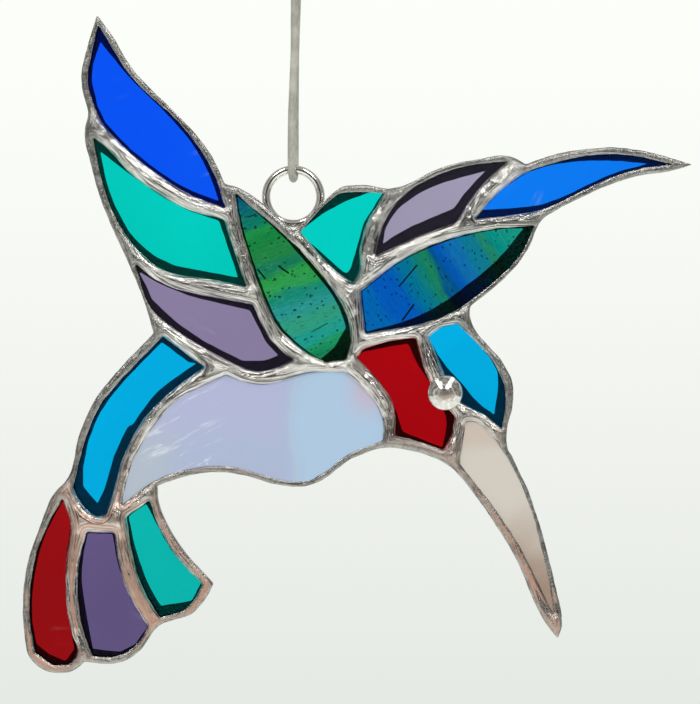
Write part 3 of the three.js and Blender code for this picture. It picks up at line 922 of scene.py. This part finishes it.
def softened(loop, step, corner=38.0):
    """A loop's smooth curve, a step between points, with its sharp corners kept."""
    count = len(loop)
    chord = np.roll(loop, -1, axis=0) - loop
    reach = np.hypot(*chord.T)
    heading = np.degrees(np.arctan2(chord[:, 1], chord[:, 0]))
    turn = (heading - np.roll(heading, 1) + 180) % 360 - 180
    sharp = np.abs(turn) > corner
    before = np.roll(chord, 1, axis=0)
    before_reach = np.roll(reach, 1)
    tangent = (
        chord / reach[:, None] ** 2 + before / before_reach[:, None] ** 2
    ) / (1 / reach + 1 / before_reach)[:, None]
    points = []
    for i in range(count):
        j = (i + 1) % count
        span = reach[i]
        leaving = chord[i] / span if sharp[i] else tangent[i]
        arriving = chord[i] / span if sharp[j] else tangent[j]
        pieces = max(1, round(span / step))
        for k in range(pieces):
            t = k / pieces
            points.append(
                (2 * t ** 3 - 3 * t ** 2 + 1) * loop[i] + (t ** 3 - 2 * t ** 2 + t) * span * leaving
                + (3 * t ** 2 - 2 * t ** 3) * loop[j] + (t ** 3 - t ** 2) * span * arriving
            )
    points = np.array(points)
    for _ in range(2):
        points = (np.roll(points, 1, axis=0) + 2 * points + np.roll(points, -1, axis=0)) / 4
    return points


def outward(loop):
    """The outward direction at each point of an anticlockwise loop."""
    along = np.roll(loop, -1, axis=0) - np.roll(loop, 1, axis=0)
    along /= np.hypot(*along.T)[:, None]
    return np.stack([along[:, 1], -along[:, 0]], axis=1)


def wavy(loop, depth, size, seed):
    """A loop whose line wanders a little, as a cut by hand does."""
    shift = [noise.noise(Vector((x / size, z / size, seed))) for x, z in loop]
    return loop + outward(loop) * (np.array(shift) * depth)[:, None]


def walled(loop, slots, wall, near=1.2):
    """A loop pushed outward wherever less than a wall's thickness parts it from the slots."""
    corners = [
        start + (end - start) * share
        for slot in slots for start, end in zip(slot, np.roll(slot, -1, axis=0))
        for share in np.arange(0, 1, 0.1 / max(0.1, np.hypot(*(end - start))))
    ]
    tree = kdtree.KDTree(len(corners))
    for i, (x, z) in enumerate(corners):
        tree.insert((x, z, 0), i)
    tree.balance()
    pushed = []
    for point, out in zip(loop, outward(loop)):
        found, _, gap = tree.find((*point, 0))
        if gap < near and (point - np.array(found[:2])) @ out < 0:
            gap = -gap
        pushed.append(point + out * max(0.0, wall - gap))
    return np.array(pushed)


def filled(loops, inner=()):
    """Triangles between closed loops, by the even-odd rule, with inner points added.

    Returns the points, the triangles and which points are on a loop."""
    points = np.concatenate([*loops, inner]) if len(inner) else np.concatenate(loops)
    starts = np.cumsum([0, *(len(loop) for loop in loops)])
    faces = [list(range(a, b)) for a, b in zip(starts, starts[1:])]
    found = delaunay_2d_cdt([Vector(p) for p in points.tolist()], [], faces, 0, 1e-6)
    triangles = np.array([f for f, within in zip(found[2], found[5]) if len(within) % 2])
    on_loop = np.array([min(ids, default=starts[-1]) < starts[-1] for ids in found[3]])
    return np.array([tuple(p) for p in found[0]]), triangles, on_loop


def inner_points(loops, step):
    """Points over the metal between the loops: one row near each edge, and then a grid."""
    near = [0.14, 0.36]
    sides = [-1] + [1] * (len(loops) - 1)
    rows = [
        loop + outward(loop) * side * reach for loop, side in zip(loops, sides) for reach in near
    ]
    ends = np.concatenate([np.stack([loop, np.roll(loop, -1, axis=0)], axis=1) for loop in loops])
    edge = kdtree.KDTree(len(ends))
    for i, (start, _) in enumerate(ends):
        edge.insert((*start, 0), i)
    edge.balance()
    low, high = loops[0].min(axis=0), loops[0].max(axis=0)
    grid = []
    for row, z in enumerate(np.arange(low[1], high[1], step * math.sqrt(0.75))):
        a, b = ends[:, 0], ends[:, 1]
        crossing = (a[:, 1] > z) != (b[:, 1] > z)
        a, b = a[crossing], b[crossing]
        crossings = np.sort(a[:, 0] + (z - a[:, 1]) * (b[:, 0] - a[:, 0]) / (b[:, 1] - a[:, 1]))
        xs = np.arange(low[0] + (row % 2) * step / 2, high[0], step)
        inside = np.searchsorted(crossings, xs) % 2 == 1
        grid += [(x, z) for x in xs[inside] if edge.find((x, z, 0))[2] > 0.36 + step * 0.55]
    return np.concatenate([*rows, grid])


def swelling(points, triangles, fixed):
    """How molten metal swells between its edges: the membrane over the plan, held at them."""
    corners = points[triangles]
    rows, columns, weights = [], [], []
    for k in range(3):
        a, b, c = (corners[:, (k + m) % 3] for m in range(3))
        u, v = a - c, b - c
        cross = u[:, 0] * v[:, 1] - u[:, 1] * v[:, 0]
        weights.append(np.sum(u * v, axis=1) / np.maximum(np.abs(cross), 1e-6) / 2)
        rows.append(triangles[:, k])
        columns.append(triangles[:, (k + 1) % 3])
    rows, columns = np.concatenate(rows), np.concatenate(columns)
    weights = np.maximum(np.concatenate(weights), 0.01)
    count = len(points)
    share = np.abs(np.cross(corners[:, 1] - corners[:, 0], corners[:, 2] - corners[:, 0])) / 6
    load = 2 * sum(np.bincount(triangles[:, k], share, count) for k in range(3))
    diagonal = np.bincount(rows, weights, count) + np.bincount(columns, weights, count)
    free = ~fixed & (diagonal > 0)
    diagonal[~free] = 1.0

    def applied(field):
        pulled = np.bincount(rows, weights * field[columns], count)
        pulled += np.bincount(columns, weights * field[rows], count)
        return np.where(free, diagonal * field - pulled, 0.0)

    field = np.zeros(count)
    residue = np.where(free, load, 0.0)
    step = residue / diagonal
    energy = residue @ step
    for _ in range(400):
        pull = applied(step)
        gain = energy / (step @ pull)
        field += gain * step
        residue -= gain * pull
        if np.abs(residue).max() < 1e-5:
            break
        eased = residue / diagonal
        new_energy = residue @ eased
        step = eased + new_energy / energy * step
        energy = new_energy
    return np.maximum(field, 0.0)


def skin_heights(points, field, fixed, spread, lift, wrinkle, seed):
    """The solder's height over the foil's edge: high round beads inside, low creased rims."""
    heights = lift * (np.sqrt(spread ** 2 + field) - spread)
    thin = np.exp(-field / 1.1)
    for i, (x, z) in enumerate(points):
        if fixed[i]:
            continue
        slow = noise.noise(Vector((x / 7, z / 7, seed)))
        lumps = noise.noise(Vector((x / 1.9, z / 1.9, seed + 9)))
        crease = noise.noise(Vector((x / 0.75, z / 0.75, seed + 5)))
        heights[i] *= 1 + 0.22 * slow + 0.1 * lumps
        heights[i] += wrinkle * (thin[i] * crease + 0.25 * lumps) * min(1.0, field[i] * 1.6)
    return np.maximum(heights, 0.0)


def distances(points, loops):
    """How far each point is from the nearest of some closed loops."""
    line = kdtree.KDTree(sum(len(loop) for loop in loops) * LINE_SHARES)
    for loop in loops:
        reach = np.roll(loop, -1, axis=0) - loop
        for k in range(LINE_SHARES):
            for i, (x, z) in enumerate(loop + reach * k / LINE_SHARES):
                line.insert((x, z, 0), i)
    line.balance()
    return np.array([line.find((x, z, 0))[2] for x, z in points])


LINE_SHARES = 4
RIM_WIDTH = 2.1
RIM_FADE = 1.4
LEAST_WALL = 0.22  # of metal between a pane's slot and the outside
PAST_GLASS = 0.16  # how far off the glass's faces the windows are cut
# How far a line wanders, over what length, and the seed.
OUTLINE_WAVER = (0.1, 2.2, 1.0)
FRONT_WAVER = (0.12, 2.5, 2.0)
BACK_WAVER = (0.12, 3.0, 3.0)
BACK_CORNER = 13.0  # the foil behind the glass is cut straight, so small turns stay corners
# The rim's section: a share of half the glass's depth, and how far it bulges there.
RIM_BULGE = ((-1, 0), (-0.8, 0.07), (-0.35, 0.1), (0.35, 0.1), (0.8, 0.07), (1, 0))


class LatticeMesh:
    """Gathers the parts of the solder's closed surface, in millimetres.

    The attribute edge holds a point's distance from the nearest edge of the metal, and rim
    is 1 on the thin rims round the outside and 0 on the seams between the panes."""

    def __init__(self):
        self.vertices = []
        self.faces = []
        self.slots = []
        self.edge = []
        self.rim = []

    def flat(self, points, triangles, ys, slot, edge=0.0, rim=0.0):
        """A sheet of triangles over the plan, at the given depth at each point."""
        start = len(self.vertices)
        count = len(points)
        self.vertices += [(x, y, z) for (x, z), y in zip(points, np.broadcast_to(ys, count))]
        self.edge += list(np.broadcast_to(edge, count))
        self.rim += list(np.broadcast_to(rim, count))
        self.faces += (triangles + start).tolist()
        self.slots += [slot] * len(triangles)

    def wall(self, rings, slot):
        """An upright band through (loop, y) rings of equal count."""
        start = len(self.vertices)
        count = len(rings[0][0])
        for loop, y in rings:
            self.vertices += [(x, y, z) for x, z in loop]
            self.edge += [0.4] * count
            self.rim += [1.0] * count
        for row in range(len(rings) - 1):
            for i in range(count):
                j = (i + 1) % count
                a = start + row * count
                self.faces.append((a + i, a + j, a + count + j, a + count + i))
                self.slots.append(slot)

    def piece(self, name):
        """The closed mesh as an object in metres, its faces outward."""
        made = mesh_piece(name, np.array(self.vertices) * MM, self.faces)
        for key, values in (("edge", self.edge), ("rim", self.rim)):
            made.data.attributes.new(key, "FLOAT", "POINT").data.foreach_set("value", values)
        made.data.polygons.foreach_set("material_index", self.slots)
        shell = bmesh.new()
        shell.from_mesh(made.data)
        bmesh.ops.remove_doubles(shell, verts=shell.verts, dist=1e-4 * MM)
        bmesh.ops.recalc_face_normals(shell, faces=shell.faces)
        shell.to_mesh(made.data)
        shell.free()
        return made


METAL, BACKING = 0, 1


class SUNCATCHER_OT_solder(bpy.types.Operator):
    """Models the solder over the foil: beads, rims and puddles on both faces"""

    bl_idname = "suncatcher.solder"
    bl_label = "Solder lattice"

    def execute(self, context):
        sizes = context.scene.suncatcher_sizes
        colours = context.scene.suncatcher_colours
        node_name = "solder-lattice"
        step = sizes.skin_step / MM
        mid, half = GLASS_MIDDLE / MM, (GLASS_HALF + sizes.foil_clearance) / MM
        reach = GLASS_HALF + PAST_GLASS * MM
        outline, *front = section(node_name, GLASS_MIDDLE - reach)
        _, *back = section(node_name, GLASS_MIDDLE + reach)
        _, *channels = section(node_name, GLASS_MIDDLE)
        outline = walled(wavy(softened(outline, step), *OUTLINE_WAVER), channels, LEAST_WALL)
        front = [wavy(softened(loop, step), *FRONT_WAVER) for loop in front]
        back = [wavy(softened(loop, step, BACK_CORNER), *BACK_WAVER) for loop in back]

        lattice = LatticeMesh()
        faces = (
            (front, -1, sizes.front_lift, 11.0),
            (back, 1, sizes.back_lift, 23.0),
        )
        for windows, side, lift, seed in faces:
            loops = [outline, *windows]
            points, triangles, fixed = filled(loops, inner_points(loops, step))
            field = swelling(points, triangles, fixed)
            heights = skin_heights(
                points, field, fixed, sizes.bead_spread / MM, lift, sizes.wrinkle / MM, seed
            )
            edge = distances(points, loops)
            rim = np.clip(1 - (distances(points, [outline]) - RIM_WIDTH) / RIM_FADE, 0, 1)
            lattice.flat(points, triangles, mid + side * (half + heights), METAL, edge, rim)
            points, triangles, _ = filled([*windows, *channels])
            lattice.flat(points, triangles, mid + side * half, BACKING)
        normals = outward(outline)
        rings = [(outline + normals * out, mid + share * half) for share, out in RIM_BULGE]
        lattice.wall(rings, METAL)
        for channel in channels:
            lattice.wall([(channel, mid - half), (channel, mid + half)], BACKING)
        piece = lattice.piece("solder-and-foil")
        piece.data.materials.append(solder_material(tuple(colours.solder)))
        piece.data.materials.append(foil_material(tuple(colours.foil)))
        smooth(piece, 55)
        mount(piece, None, "solder", node_name)
        return {"FINISHED"}


# ---- ring and eye ----


def wire_material(shade):
    """Tinned wire, smoother than the run solder."""
    material, tree = new_material("tinned-wire")
    cloud = tree.noise(tree.place(), 500.0, 3.0)
    tree.surface(
        Base_Color=tree.mix(cloud, scaled(shade, 0.8), shade), Metallic=1.0, Roughness=0.12,
        Normal=tree.bump(tree.noise(tree.place(), 700.0, 2.0), 0.03 * MM),
    )
    return material


class SUNCATCHER_OT_ring(bpy.types.Operator):
    """Models the wire ring"""

    bl_idname = "suncatcher.ring"
    bl_label = "Hanging ring"

    def execute(self, context):
        reach = half_size(RING_BOX)
        wire = reach.y
        deselect()
        bpy.ops.mesh.primitive_torus_add(
            major_radius=reach.x - wire, minor_radius=wire, major_segments=128, minor_segments=24,
            location=RING_CENTRE, rotation=(math.radians(90), 0, 0),
        )
        ring = context.object
        ring.name = "wire-ring"
        settle(ring)
        for vertex in ring.data.vertices:
            around = vertex.co - RING_CENTRE
            middle_line = Vector((around.x, 0, around.z)).normalized() * (reach.x - wire)
            out = (around - middle_line).normalized()
            vertex.co += out * noise.noise(vertex.co / (2.4 * MM)) * 0.05 * MM
        smooth(ring, 60)
        mount(ring, wire_material(tuple(context.scene.suncatcher_colours.solder)),
              "tinned-wire", "hanging-ring")
        return {"FINISHED"}


def eye_material(shade):
    """A drop of solder, nearly a mirror, with a painted brown reflection low in the middle and two
    painted white glints.
    """
    material, tree = new_material("eye-solder")
    place = tree.place(centre=middle(EYE_BOX))
    off = tree.vector("ADD", place, (0, 0, 0.6 * MM))
    flat = tree.vector("MULTIPLY", off, (1, 0, 1.6))
    away = tree.vector("LENGTH", flat).outputs["Value"]
    cloud = tree.noise(tree.place(), 620.0, 4.0, 0.65, 0.6)
    away = tree.math("MULTIPLY_ADD", tree.math("SUBTRACT", cloud, 0.5), 5.0 * MM, away)
    # Painted reflection: a brown patch low in the middle, where the dome mirrors what stands in front
    # of it.
    painted_reflection = tree.ramp(away, 3.3 * MM, 1.3 * MM)
    tone = tree.mix(tree.ramp(cloud, 0.35, 0.7), scaled(shade, 0.72), shade)
    tone = tree.mix(tree.times(painted_reflection, 0.75), tone, (0.36, 0.29, 0.25))
    # Painted highlights: two white glints in a V, matt and white, standing for the strip lights'
    # reflections.
    painted_glint = 0.0
    for start, end, width in EYE_GLINTS:
        painted_glint = tree.math("MAXIMUM", stroke(tree, start, end, width * MM), painted_glint)
    painted_glint = tree.times(painted_glint, tree.ramp(cloud, 0.3, 0.5))
    tone = tree.mix(painted_glint, tone, (0.95, 0.95, 0.93))
    tree.surface(
        Base_Color=tone, Metallic=tree.math("SUBTRACT", 1.0, painted_glint),
        Roughness=tree.ramp(painted_reflection, 0, 1, 0.1, 0.34),
        Normal=tree.bump(cloud, 0.05 * MM),
    )
    return material


EYE_CAP = 0.45  # the rounded cap's rise over its radius
EYE_SET_BACK = 0.5
# The eye's two painted glints, white highlights: start and end about the ring's centre, and width, in
# millimetres.
EYE_GLINTS = [((35.8, -45.9), (36.9, -47.8), 0.9), ((39.9, -45.6), (38.5, -47.8), 1.1)]


class SUNCATCHER_OT_eye(bpy.types.Operator):
    """Models the bright bead of the eye"""

    bl_idname = "suncatcher.eye"
    bl_label = "Eye bead"

    def execute(self, context):
        centre = middle(EYE_BOX)
        radius = half_size(EYE_BOX).x
        front = EYE_BOX[0].y + EYE_SET_BACK * MM
        glass_front = GLASS_MIDDLE - GLASS_HALF
        cap = EYE_CAP * radius
        ball = (radius ** 2 + cap ** 2) / (2 * cap)
        deselect()
        bpy.ops.mesh.primitive_uv_sphere_add(
            segments=96, ring_count=96, radius=ball, location=(centre.x, front + ball, centre.z),
            rotation=(math.radians(90), 0, 0),
        )
        bead = context.object
        bead.name = "eye-dome"
        settle(bead)
        bpy.ops.object.mode_set(mode="EDIT")
        bpy.ops.mesh.select_all(action="SELECT")
        bpy.ops.mesh.bisect(
            plane_co=(0, front + cap, 0), plane_no=(0, 1, 0), use_fill=True, clear_outer=True
        )
        bpy.ops.mesh.extrude_region_move(
            TRANSFORM_OT_translate={"value": (0, glass_front - front - cap, 0)}
        )
        bpy.ops.object.mode_set(mode="OBJECT")
        for vertex in bead.data.vertices:
            off = vertex.co - centre
            dent = noise.noise(vertex.co / (2.1 * MM)) * 0.07 * MM
            vertex.co.y += dent * max(0.0, 1 - (off.x ** 2 + off.z ** 2) / radius ** 2)
        smooth(bead, 50)
        mount(bead, eye_material(tuple(context.scene.suncatcher_colours.solder)),
              "bright-solder", "eye-bead")
        return {"FINISHED"}


# ---- sidebar ----

PIECES = (
    SUNCATCHER_OT_stage,
    SUNCATCHER_OT_cord,
    SUNCATCHER_OT_clear_glass,
    SUNCATCHER_OT_streaky_glass,
    SUNCATCHER_OT_opal_glass,
    SUNCATCHER_OT_solder,
    SUNCATCHER_OT_ring,
    SUNCATCHER_OT_eye,
)
GROUPS = (SuncatcherSizes, SuncatcherColours, SuncatcherStudio)


class SUNCATCHER_PT_sidebar(bpy.types.Panel):
    """Lists the suncatcher's pieces and their values"""

    bl_idname = "SUNCATCHER_PT_sidebar"
    bl_label = "Suncatcher"
    bl_space_type = "VIEW_3D"
    bl_region_type = "UI"
    bl_category = "Suncatcher"

    def draw(self, context):
        for operator in PIECES:
            self.layout.operator(operator.bl_idname)
        scene = context.scene
        for values in (scene.suncatcher_sizes, scene.suncatcher_colours, scene.suncatcher_studio):
            box = self.layout.box()
            for key in values.__annotations__:
                box.prop(values, key)


def register():
    for group in GROUPS:
        bpy.utils.register_class(group)
    bpy.types.Scene.suncatcher_sizes = bpy.props.PointerProperty(type=SuncatcherSizes)
    bpy.types.Scene.suncatcher_colours = bpy.props.PointerProperty(type=SuncatcherColours)
    bpy.types.Scene.suncatcher_studio = bpy.props.PointerProperty(type=SuncatcherStudio)
    for shown in (*PIECES, SUNCATCHER_PT_sidebar):
        bpy.utils.register_class(shown)


def unregister():
    for shown in reversed((*PIECES, SUNCATCHER_PT_sidebar)):
        bpy.utils.unregister_class(shown)
    del bpy.types.Scene.suncatcher_studio
    del bpy.types.Scene.suncatcher_colours
    del bpy.types.Scene.suncatcher_sizes
    for group in reversed(GROUPS):
        bpy.utils.unregister_class(group)


def corners():
    """The shown object's lowest and highest corners as plain lists."""
    return [list(corner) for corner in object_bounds()]


def main():
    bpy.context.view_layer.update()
    register()
    for operator in PIECES:
        group, name = operator.bl_idname.split(".")
        getattr(getattr(bpy.ops, group), name)()


if __name__ == "__main__":
    main()
